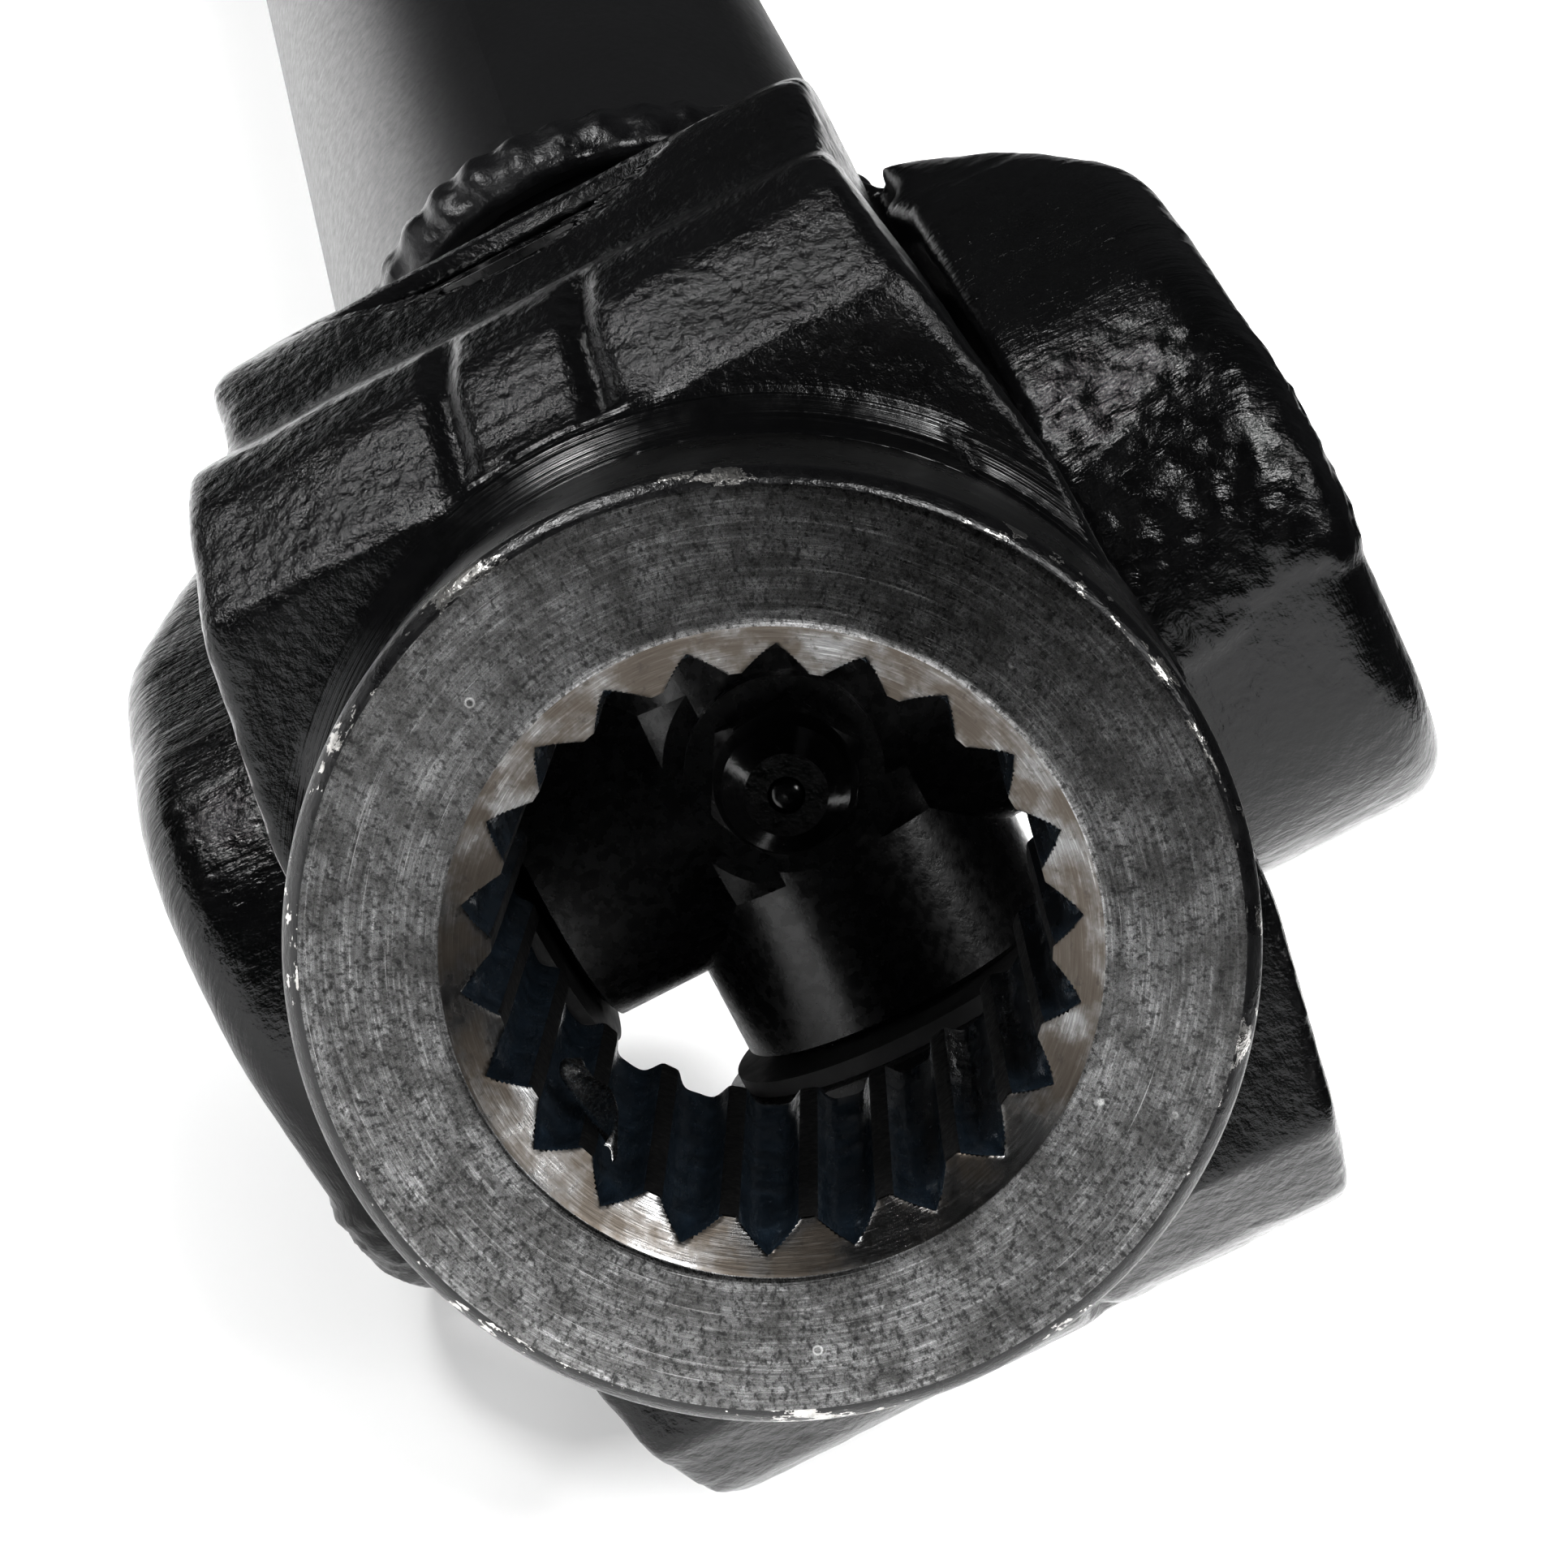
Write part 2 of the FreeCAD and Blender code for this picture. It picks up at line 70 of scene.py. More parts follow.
# ------------------------------------------------------------------ node helpers
class Mat:
    def __init__(self, name):
        self.m = bpy.data.materials.new(name)
        self.m.use_nodes = True
        self.nt = self.m.node_tree
        self.nt.nodes.clear()
        self.out = self.nt.nodes.new("ShaderNodeOutputMaterial")
        self.b = self.nt.nodes.new("ShaderNodeBsdfPrincipled")
        self.nt.links.new(self.b.outputs[0], self.out.inputs[0])
        self.tc = self.nt.nodes.new("ShaderNodeTexCoord")

    def n(self, kind, **kw):
        node = self.nt.nodes.new(kind)
        for k, v in kw.items():
            setattr(node, k, v)
        return node

    def link(self, a, b):
        self.nt.links.new(a, b)

    def set(self, **kw):
        for k, v in kw.items():
            self.b.inputs[k.replace("_", " ")].default_value = v

    def obj(self):
        return self.tc.outputs["Object"]

    def mapped(self, scale=(1, 1, 1), loc=(0, 0, 0), rot=(0, 0, 0)):
        mp = self.n("ShaderNodeMapping")
        self.link(self.obj(), mp.inputs["Vector"])
        mp.inputs["Scale"].default_value = scale
        mp.inputs["Location"].default_value = loc
        mp.inputs["Rotation"].default_value = rot
        return mp.outputs[0]

    def noise(self, scale, detail=4.0, rough=0.55, vec=None, distort=0.0):
        t = self.n("ShaderNodeTexNoise")
        self.link(vec if vec is not None else self.obj(), t.inputs["Vector"])
        t.inputs["Scale"].default_value = scale
        t.inputs["Detail"].default_value = detail
        t.inputs["Roughness"].default_value = rough
        t.inputs["Distortion"].default_value = distort
        return t.outputs["Fac"]

    def voronoi(self, scale, feature="F1", vec=None, out="Distance"):
        t = self.n("ShaderNodeTexVoronoi", feature=feature)
        self.link(vec if vec is not None else self.obj(), t.inputs["Vector"])
        t.inputs["Scale"].default_value = scale
        return t.outputs[out]

    def ramp(self, fac, stops, mode="LINEAR"):
        r = self.n("ShaderNodeValToRGB")
        r.color_ramp.interpolation = mode
        self.link(fac, r.inputs[0])
        e = r.color_ramp.elements
        while len(e) < len(stops):
            e.new(0.5)
        for el, (p, c) in zip(e, stops):
            el.position = p
            el.color = (c, c, c, 1) if not hasattr(c, "__len__") else (*c[:3], 1)
        return r.outputs[0]

    def math(self, op, a, b=None, clamp=False):
        t = self.n("ShaderNodeMath", operation=op, use_clamp=clamp)
        for i, v in enumerate((a, b)):
            if v is None:
                continue
            if isinstance(v, (int, float)):
                t.inputs[i].default_value = v
            else:
                self.link(v, t.inputs[i])
        return t.outputs[0]

    def mix(self, fac, a, b, blend="MIX"):
        t = self.n("ShaderNodeMix", data_type="RGBA", blend_type=blend)
        for i, v in ((0, fac), (6, a), (7, b)):
            if isinstance(v, (int, float)) and i == 0:
                t.inputs[i].default_value = v
            elif isinstance(v, (int, float)):
                t.inputs[i].default_value = (v, v, v, 1)
            elif isinstance(v, (tuple, list)):
                t.inputs[i].default_value = (*v[:3], 1)
            else:
                self.link(v, t.inputs[i])
        return t.outputs[2]

    def attr(self, name):
        a = self.n("ShaderNodeAttribute", attribute_name=name)
        return a.outputs["Fac"]

    def xyz(self, vec=None):
        s = self.n("ShaderNodeSeparateXYZ")
        self.link(vec if vec is not None else self.obj(), s.inputs[0])
        return s.outputs

    def color(self, v):
        self.link(v, self.b.inputs["Base Color"])

    def rough(self, v):
        self.link(v, self.b.inputs["Roughness"])

    def bump(self, h, dist, strength=1.0, prev=None):
        t = self.n("ShaderNodeBump")
        t.inputs["Strength"].default_value = strength
        t.inputs["Distance"].default_value = dist
        self.link(h, t.inputs["Height"])
        if prev is not None:
            self.link(prev, t.inputs["Normal"])
        return t.outputs[0]

    def normal(self, v):
        self.link(v, self.b.inputs["Normal"])


def forged_paint(name, base=0.003, rough_lo=0.12, rough_hi=0.26, pebble=1.0, rim=0.012, striate=0.0):
    """gloss black paint over a rough forging; the rim attribute is 1 on rounded rims, where the colour is lightened:
    partly worn paint, partly a painted rim highlight
    """
    m = Mat(name)
    a = m.noise(760, 5, 0.62)
    b = m.noise(2300, 5, 0.62)
    c = m.voronoi(1500, "SMOOTH_F1")
    big = m.noise(110, 4, 0.6)
    e = m.attr("rim_wear_and_highlight_w")
    col = m.ramp(big, [(0.3, (base * 0.75, base * 0.75, base * 0.8)), (0.7, (base * 1.5, base * 1.55, base * 1.7))])
    dust = m.ramp(b, [(0.62, 0.0), (0.78, 1.0)])
    col = m.mix(m.math("MULTIPLY", dust, 0.08), col, (0.03, 0.032, 0.036))
    # lighter rims: partly worn paint, partly a painted highlight along the rounded rims
    wear_and_rim_highlight = m.math("MULTIPLY", e, m.ramp(m.noise(500, 5, 0.65), [(0.3, 0.35), (0.65, 1.0)]), True)
    col = m.mix(wear_and_rim_highlight, col, (rim, rim, rim * 1.04))
    m.color(col)
    m.rough(m.ramp(a, [(0.3, rough_lo), (0.7, rough_hi)]))
    k = m.math("SUBTRACT", 1.0, m.attr("mach_w"), True)
    h = m.bump(m.math("MULTIPLY", a, k), 0.13 * MM * pebble, 0.8)
    h = m.bump(m.math("MULTIPLY", c, k), 0.08 * MM * pebble, 0.7, h)
    h = m.bump(m.math("MULTIPLY", b, k), 0.08 * MM * pebble, 1.0, h)
    s = m.xyz()
    y2 = m.math("MULTIPLY", s[1], s[1])
    z2 = m.math("MULTIPLY", s[2], s[2])
    rv = m.math("MULTIPLY", m.math("SQRT", m.math("ADD", y2, z2)), 4200)
    cc = m.n("ShaderNodeCombineXYZ")
    m.link(rv, cc.inputs[0])
    m.link(m.math("MULTIPLY", s[0], 4200), cc.inputs[1])
    ln = m.noise(1.0, 3, 0.6, cc.outputs[0])
    h = m.bump(m.math("MULTIPLY", ln, m.attr("mach_w")), 0.16 * MM, 0.7, h)
    if striate:
        sv = m.mapped((2600, 160, 500))
        st = m.noise(1.0, 4, 0.65, sv)
        h = m.bump(st, striate * MM, 0.8, h)
    m.normal(h)
    m.set(Metallic=0.0, IOR=1.5, Specular_IOR_Level=0.36)
    return m.m


def smooth_paint(name, base=0.012, lo=0.22, hi=0.38, wave=0.02, grain=0.004):
    m = Mat(name)
    a = m.noise(90, 4, 0.5)
    b = m.noise(1600, 4, 0.6)
    f = m.noise(5200, 3, 0.6)
    m.color(m.ramp(a, [(0.3, (base * 0.8, base * 0.8, base * 0.85)), (0.75, (base * 1.25, base * 1.25, base * 1.35))]))
    m.rough(m.ramp(b, [(0.3, lo), (0.75, hi)]))
    h = m.bump(a, wave * MM * 8, 0.35)
    h = m.bump(b, grain * MM * 8, 0.5, h)
    h = m.bump(f, grain * MM * 3, 0.5, h)
    m.normal(h)
    m.set(IOR=1.5)
    return m.m


def steel(name, base=0.35, rough=0.3, dark=0.5, tint=(1, 1, 1), scale=300, grain=0.004, aniso=0.0):
    m = Mat(name)
    a = m.noise(scale, 5, 0.65)
    b = m.noise(scale * 7, 4, 0.65)
    c1 = tuple(base * dark * t for t in tint)
    c2 = tuple(base * t for t in tint)
    col = m.ramp(a, [(0.3, c1), (0.65, c2)])
    col = m.mix(m.ramp(b, [(0.35, 0.6), (0.65, 0.0)]), col, tuple(0.4 * v for v in c1))
    m.color(col)
    m.rough(m.ramp(b, [(0.3, rough * 0.8), (0.7, min(1.0, rough * 1.5))]))
    m.normal(m.bump(b, grain * MM * 5, 0.5))
    m.set(Metallic=1.0)
    if aniso:
        m.set(Anisotropic=aniso)
        t = m.n("ShaderNodeTangent", direction_type="RADIAL", axis="X")
        m.link(t.outputs[0], m.b.inputs["Tangent"])
    return m.m


def radius_and_angle(m):
    s = m.xyz()
    y, z = s[1], s[2]
    r = m.math("SQRT", m.math("ADD", m.math("MULTIPLY", y, y), m.math("MULTIPLY", z, z)))
    ang = m.math("ARCTAN2", z, y)
    return s[0], r, ang


def polar_vec(m, rs, angs, r, ang):
    """(radius, cos, sin) vector stretched so that noise runs in concentric streaks"""
    c = m.n("ShaderNodeCombineXYZ")
    m.link(m.math("MULTIPLY", r, rs), c.inputs[0])
    m.link(m.math("MULTIPLY", m.math("COSINE", ang), angs), c.inputs[1])
    m.link(m.math("MULTIPLY", m.math("SINE", ang), angs), c.inputs[2])
    return c.outputs[0]


def turned_face():
    """bare lathe-cut steel annulus with stains, streaks and specks"""
    m = Mat("turned_face_steel")
    x, r, ang = radius_and_angle(m)
    streak = m.noise(1.0, 6, 0.75, polar_vec(m, 6500, 3.0, r, ang))
    fine = m.noise(1.0, 3, 0.6, polar_vec(m, 15000, 2.0, r, ang))
    arcs = m.noise(1.0, 5, 0.7, polar_vec(m, 2600, 60.0, r, ang))
    blotch = m.noise(420, 6, 0.75)
    speck = m.noise(3000, 6, 0.8)
    large = m.noise(110, 4, 0.6)
    col = m.ramp(streak, [(0.30, 0.10), (0.50, 0.24), (0.72, 0.62)])
    col = m.mix(m.ramp(large, [(0.35, 0.5), (0.65, 0.0)]), col, (0.10, 0.10, 0.10))
    col = m.mix(m.ramp(blotch, [(0.42, 0.7), (0.58, 0.0)]), col, (0.065, 0.064, 0.062))
    col = m.mix(m.ramp(m.math("MULTIPLY", arcs, 1.0), [(0.36, 0.8), (0.47, 0.0)]), col, (0.03, 0.03, 0.03))
    col = m.mix(m.ramp(speck, [(0.40, 0.85), (0.50, 0.0)]), col, (0.03, 0.03, 0.03))
    # fine bright scratches along the cut
    col = m.mix(m.ramp(fine, [(0.66, 0.0), (0.76, 0.55)]), col, (0.7, 0.7, 0.7))
    # little bright ring-shaped marks
    vv = m.voronoi(620)
    ring = m.ramp(vv, [(0.0, 0.0), (0.07, 0.0), (0.11, 1.0), (0.15, 0.0)])
    keep = m.ramp(m.noise(420, 2, 0.5), [(0.6, 0.0), (0.66, 1.0)])
    col = m.mix(m.math("MULTIPLY", ring, m.math("MULTIPLY", keep, 0.7)), col, (0.7, 0.7, 0.69))
    m.color(col)
    m.rough(m.ramp(speck, [(0.35, 0.40), (0.6, 0.22)]))
    h = m.bump(fine, 0.012 * MM, 0.5)
    h = m.bump(speck, 0.012 * MM, 0.5, h)
    m.normal(h)
    m.set(Metallic=1.0, Anisotropic=0.85)
    t = m.n("ShaderNodeTangent", direction_type="RADIAL", axis="X")
    m.link(t.outputs[0], m.b.inputs["Tangent"])
    return m.m


def chamfer_steel():
    m = Mat("turned_chamfer_steel")
    x, r, ang = radius_and_angle(m)
    streak = m.noise(1.0, 5, 0.65, polar_vec(m, 12000, 7.0, r, ang))
    blotch = m.noise(330, 5, 0.62)
    col = m.ramp(streak, [(0.3, 0.09), (0.55, 0.16), (0.75, 0.34)])
    stain = m.ramp(blotch, [(0.40, 0.0), (0.56, 1.0)])
    col = m.mix(m.math("MULTIPLY", stain, 0.8), col, (0.06, 0.048, 0.036))
    col = m.mix(m.ramp(m.noise(1900, 4, 0.7), [(0.3, 0.7), (0.42, 0.0)]), col, (0.05, 0.045, 0.04))
    m.color(col)
    m.rough(m.ramp(blotch, [(0.4, 0.22), (0.65, 0.42)]))
    m.normal(m.bump(streak, 0.03 * MM, 0.4))
    m.set(Metallic=1.0, Anisotropic=0.6)
    t = m.n("ShaderNodeTangent", direction_type="RADIAL", axis="X")
    m.link(t.outputs[0], m.b.inputs["Tangent"])
    return m.m


def groove_paint():
    """thick wet-looking blue-black paint lying in the V grooves"""
    m = Mat("groove_paint")
    a = m.noise(700, 5, 0.6, distort=0.6)
    vec = m.mapped((260, 1500, 1500))
    run = m.noise(1.0, 4, 0.6, vec)
    col = m.ramp(a, [(0.3, (0.006, 0.010, 0.015)), (0.62, (0.016, 0.026, 0.038)), (0.85, (0.05, 0.07, 0.09))])
    spk = m.ramp(m.noise(2600, 3, 0.6), [(0.66, 0.0), (0.74, 1.0)])
    col = m.mix(m.math("MULTIPLY", spk, 0.5), col, (0.16, 0.19, 0.22))
    m.color(col)
    m.rough(m.ramp(run, [(0.3, 0.12), (0.7, 0.34)]))
    h = m.bump(run, 0.25 * MM, 0.6)
    h = m.bump(a, 0.25 * MM, 0.5, h)
    m.normal(h)
    m.set(IOR=1.5)
    return m.m


def land_steel():
    m = Mat("land_steel")
    s = m.noise(2400, 5, 0.7)
    col = m.ramp(s, [(0.35, (0.004, 0.004, 0.005)), (0.6, (0.02, 0.02, 0.02)), (0.8, (0.1, 0.095, 0.09))])
    m.color(col)
    m.rough(m.ramp(s, [(0.3, 0.7), (0.7, 0.4)]))
    m.normal(m.bump(s, 0.1 * MM, 0.8))
    m.set(Metallic=0.5)
    return m.m


def hub_paint():
    """black paint over turned hub: fine lathe lines show through"""
    m = Mat("turned_hub_paint")
    s = m.xyz()
    c = m.n("ShaderNodeCombineXYZ")
    m.link(m.math("MULTIPLY", s[0], 5200), c.inputs[0])
    m.link(m.math("MULTIPLY", s[1], 60), c.inputs[1])
    m.link(m.math("MULTIPLY", s[2], 60), c.inputs[2])
    lines = m.noise(1.0, 3, 0.6, c.outputs[0])
    a = m.noise(300, 4, 0.6)
    col = m.ramp(lines, [(0.3, 0.003), (0.7, 0.007)])
    m.color(col)
    m.rough(m.ramp(a, [(0.3, 0.22), (0.7, 0.4)]))
    h = m.bump(lines, 0.16 * MM, 0.55)
    h = m.bump(m.noise(1500, 4, 0.6), 0.05 * MM, 0.4, h)
    m.normal(h)
    m.set(IOR=1.5)
    return m.m


def chip_edge(seed=0.0):
    """edge chamfer of the hub: paint broken away in places down to bright steel"""
    m = Mat("chipped_edge")
    x, r, ang = radius_and_angle(m)
    n1 = m.noise(1.0, 5, 0.7, polar_vec(m, 700, 3.2, r, ang))
    n2 = m.noise(900, 5, 0.7)
    k = m.math("ADD", m.math("MULTIPLY", n1, 0.7), m.math("MULTIPLY", n2, 0.3))
    chip = m.ramp(k, [(0.555, 0.0), (0.565, 1.0)])
    met = m.ramp(n2, [(0.3, (0.16, 0.155, 0.15)), (0.7, (0.62, 0.61, 0.59))])
    m.color(m.mix(chip, (0.004, 0.004, 0.0045), met))
    m.link(chip, m.b.inputs["Metallic"])
    m.rough(m.ramp(n2, [(0.3, 0.4), (0.7, 0.2)]))
    m.normal(m.bump(k, 0.4 * MM, 0.5))
    return m.m


def weld_paint():
    m = Mat("weld_paint")
    a = m.noise(420, 5, 0.6)
    b = m.voronoi(700, "SMOOTH_F1")
    m.color(m.ramp(a, [(0.3, (0.003, 0.003, 0.0035)), (0.75, (0.008, 0.008, 0.009))]))
    m.rough(m.ramp(a, [(0.3, 0.22), (0.7, 0.5)]))
    h = m.bump(b, 0.5 * MM, 0.6)
    h = m.bump(m.noise(1900, 4, 0.6), 0.12 * MM, 0.6, h)
    m.normal(h)
    return m.m


def rubber(name):
    m = Mat(name)
    a = m.noise(900, 5, 0.6)
    m.color(m.ramp(a, [(0.3, (0.010, 0.010, 0.010)), (0.7, (0.022, 0.022, 0.023))]))
    m.rough(m.ramp(a, [(0.3, 0.55), (0.7, 0.8)]))
    m.normal(m.bump(m.noise(2600, 4, 0.6), 0.05 * MM, 0.6))
    return m.m


M_FORGED = forged_paint("forged_gloss_paint")
M_FORGED_T = forged_paint("tube_yoke_paint", base=0.003, rough_lo=0.12, rough_hi=0.26, pebble=0.45, rim=0.012, striate=0.12)
M_TUBE = smooth_paint("tube_satin_paint", base=0.008, lo=0.3, hi=0.42, wave=0.01, grain=0.003)
M_CUP = smooth_paint("oversprayed_cup", base=0.005, lo=0.2, hi=0.4)
M_CLIP = smooth_paint("oversprayed_clip", base=0.005, lo=0.2, hi=0.4)
M_CROSS = smooth_paint("cross_paint", base=0.003, lo=0.18, hi=0.38)
M_NIP = smooth_paint("nipple_paint", base=0.004, lo=0.12, hi=0.3)
M_NEEDLE = steel("needle_steel", base=0.6, rough=0.18, dark=0.8)
M_RUB = rubber("seal_rubber_grain")
M_FACE = turned_face()
M_CHAM = chamfer_steel()
M_GROOVE = groove_paint()
M_LAND = land_steel()
M_HUB = hub_paint()
M_CHIP = chip_edge()
M_WELD = weld_paint()
M_BURR = steel("bright_burr", base=0.75, rough=0.22, dark=0.6, scale=900)
M_STRING = smooth_paint("paint_string", base=0.015, lo=0.15, hi=0.3)


# ------------------------------------------------------------------ mesh helpers
def arrays(me):
    co = np.zeros(len(me.vertices) * 3)
    me.vertices.foreach_get("co", co)
    ed = np.zeros(len(me.edges) * 2, np.int64)
    me.edges.foreach_get("vertices", ed)
    return co.reshape(-1, 3), ed.reshape(-1, 2)


def vnormals(me):
    no = np.zeros(len(me.vertices) * 3)
    me.vertices.foreach_get("normal", no)
    return no.reshape(-1, 3)


class Lap:
    def __init__(self, n, ed):
        self.n, self.a, self.b = n, ed[:, 0], ed[:, 1]
        self.deg = np.maximum(np.bincount(self.a, minlength=n) + np.bincount(self.b, minlength=n), 1)

    def avg(self, v):
        if v.ndim == 1:
            s = np.bincount(self.a, v[self.b], self.n) + np.bincount(self.b, v[self.a], self.n)
            return s / self.deg
        return np.stack([self.avg(v[:, i]) for i in range(v.shape[1])], 1)


def set_float(me, name, v):
    at = me.attributes.get(name) or me.attributes.new(name, "FLOAT", "POINT")
    at.data.foreach_set("value", np.asarray(v, np.float32))


def fbm(co, scale, octaves=3, seed=0.0):
    out = np.zeros(len(co))
    amp, tot = 1.0, 0.0
    for o in range(octaves):
        k = scale * (2.03 ** o)
        off = Vector((seed + 3.1 * o, 1.7 * seed + o, 5.3 - seed))
        out += amp * np.array([noise.noise(Vector(p) * k + off) for p in co])
        tot += amp
        amp *= 0.5
    return out / tot


def remeshed(name, node, world, voxel, cut_x=None):
    me = NODES[node].data.copy()
    me.transform(world.inverted())
    ob = bpy.data.objects.new(name, me)
    bpy.context.scene.collection.objects.link(ob)
    md = ob.modifiers.new("r", "REMESH")
    md.mode = "VOXEL"
    md.voxel_size = voxel
    dg = bpy.context.evaluated_depsgraph_get()
    new = bpy.data.meshes.new_from_object(ob.evaluated_get(dg))
    ob.modifiers.clear()
    ob.data = new
    new.name = name
    bpy.data.meshes.remove(me)
    if cut_x is not None:
        bm = bmesh.new()
        bm.from_mesh(new)
        g = bm.verts[:] + bm.edges[:] + bm.faces[:]
        bmesh.ops.bisect_plane(bm, geom=g, plane_co=(cut_x, 0, 0), plane_no=(1, 0, 0), clear_outer=True)
        bm.to_mesh(new)
        bm.free()
    return ob


def place(ob, world, body, nodes=(), mats=()):
    if len(ob.data.materials):
        ob.data.materials.clear()
    for m in mats:
        ob.data.materials.append(m)
    ob.matrix_world = world
    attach(ob, body)
    if nodes:
        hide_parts(*nodes)
    return ob


def smoothstep(a, b, x):
    t = np.clip((x - a) / (b - a), 0, 1)
    return t * t * (3 - 2 * t)


EAR_OUT, EAR_IN, CUP_R, CLIP_R = 29.5, 18.0, 11.0, 11.8
HUB_R, FACE_X, TURNED_X, THROAT_X = 19.3, 50.0, 35.5, 27.8


def forging(side, kind, voxel):
    """the rough forged fork: rounded rims, pebbled skin, machined bores left true"""
    if kind == "end":
        world, node = END[side], side + "_splined_yoke"
        name = side + "_yoke_forging"
    else:
        world, node = TUBEY[side], side + "_tube_yoke"
        name = side + "_tube_yoke_forging"
    ob = remeshed(name, node, world, voxel * MM, 38.0 * MM if kind == "end" else None)
    me = ob.data
    co, ed = arrays(me)
    p = co / MM
    lap = Lap(len(p), ed)
    x, y, z = p.T
    rr = np.hypot(y, z)
    re = np.hypot(x, y)
    # machined zones: 1 where the surface has to stay true
    bore = (np.abs(re - CUP_R) < 1.5) & (np.abs(z) > EAR_IN - 0.3) & (np.abs(z) < EAR_OUT + 0.3)
    if kind == "end":
        hubz = smoothstep(34.6, 35.3, x) * (rr < 23.5)
    else:
        hubz = smoothstep(33.0, 34.0, x)
    mach = np.clip(bore.astype(float) + hubz, 0, 1)
    soft = 1 - mach
    before = p.copy()
    it = int(round(11 * (0.35 / voxel) ** 1.2))
    for _ in range(it):
        p = p + (lap.avg(p) - p) * (0.62 * soft)[:, None]
    # strong smoothing gives the curvature sign
    q = p.copy()
    for _ in range(10):
        q = lap.avg(q)
    me.vertices.foreach_set("co", (p * MM).ravel())
    me.update()
    no = vnormals(me)
    conv = ((p - q) * no).sum(1)
    sel = soft > 0.5
    s1 = fbm(p, 0.42, 3, 1.0)
    s2 = fbm(p, 1.15, 2, 4.0)
    s3 = fbm(p, 0.11, 2, 9.0)
    d = 0.04 * s2 + 0.07 * s1 + 0.20 * s3
    inner = (np.abs(z) < EAR_IN - 0.6) & (np.abs(z) < 30)
    d = d * np.where(inner, 0.55, 1.0)
    if kind == "tube":
        d = d * 0.6
        # coarse fettling marks across the ears' flanks
        flank = smoothstep(13.0, 15.5, np.abs(y)) * (x < 16)
        wv = np.array([noise.noise(Vector((a * 1.5, b * 0.16, c * 0.3))) for a, b, c in p])
        d = d + 0.05 * wv * flank
        # flash step left across the ears' rounded ends
        yq = y * np.sign(z) + 0.9 * np.sin(z * 0.55)
        end = smoothstep(-4.0, -9.0, x) if False else (1 - smoothstep(-11.0, -5.0, x))
        d = d + 0.34 * smoothstep(3.0, 4.4, yq) * (1 - smoothstep(13.0, 15.5, yq)) * end
        d = d + 0.22 * s2 * end * smoothstep(3.0, 4.4, yq)
    else:
        # raised die pad between two grooves, on the shoulder slope of both ears
        sl = (x > 24.0) & (x < 36.2) & (np.abs(z) > 18.8)
        sgn = np.sign(z)
        ya = y - 0.15 * sgn * 0 - (x - 31.0) * (-0.13)
        g = np.exp(-((ya + 3.45) / 0.62) ** 2) + np.exp(-((ya - 3.15) / 0.62) ** 2)
        run = smoothstep(26.6, 28.2, x + 0.25 * (ya < 0)) * (1 - smoothstep(35.6, 36.2, x))
        pad = (np.abs(ya + 0.15) < 2.9)
        d = d * np.where(sl & pad, 0.35, 1.0)
        d = d - 0.50 * g * run * sl
        d = d + 0.10 * (pad & sl) * run
        lines = np.array([noise.noise(Vector((a * 3.1, b * 0.10, 2.0))) for a, b in zip(x, y)]) * 0.07
        d = d + lines * (pad & sl) * run
        # die parting line down the flanks
        d = d + 0.16 * np.exp(-((z - 0.0) / 0.6) ** 2) * (np.abs(y) > 12) * (x > 10)
    p = p + no * ((d + 0.10) * soft)[:, None]
    # true up the bores
    x, y, z = p.T
    re = np.maximum(np.hypot(x, y), 1e-6)
    za = np.abs(z)
    want = np.where((za > 26.9) & (za < 28.45), CLIP_R, CUP_R)
    want = np.where(za > 28.6, CUP_R + np.clip(za - 28.6, 0, 0.9), want)
    k = bore & (np.abs(re - want) < 0.75) & (za > EAR_IN + 0.2) & (za < EAR_OUT - 0.05)
    f = np.where(k, want / re, 1.0)
    p[:, 0] *= f
    p[:, 1] *= f
    if kind == "end":
        x, y, z = p.T
        rr = np.maximum(np.hypot(y, z), 1e-6)
        # the hub ring covers the turned seat; the sleeve covers the bore
        seat = (x > 37.3) & (rr > 15.0)
        f = np.where(seat, np.minimum(rr, 18.6) / rr, 1.0)
        core = (rr < 13.5) & (x > THROAT_X - 0.3)
        f = np.where(core, 12.95 / rr, f)
        p[:, 1] *= f
        p[:, 2] *= f
    me.vertices.foreach_set("co", (p * MM).ravel())
    # rim weight for the paint colour: lightens convex rims, partly as wear and partly as a painted highlight
    set_float(me, "rim_wear_and_highlight_w", np.clip((conv - 0.22) / 0.30, 0, 1) * soft)
    mw = smoothstep(34.9, 35.4, p[:, 0]) * (1 - smoothstep(20.6, 21.6, np.hypot(p[:, 1], p[:, 2])))
    for _ in range(6):
        mw = lap.avg(mw)
    set_float(me, "mach_w", mw if kind == "end" else mw * 0.0)
    me.update()
    me.polygons.foreach_set("use_smooth", np.ones(len(me.polygons), bool))
    me.update()
    body = (side + "_end_fork") if kind == "end" else "shaft"
    place(ob, world, body, (node,), (M_FORGED if kind == "end" else M_FORGED_T,))
    return ob


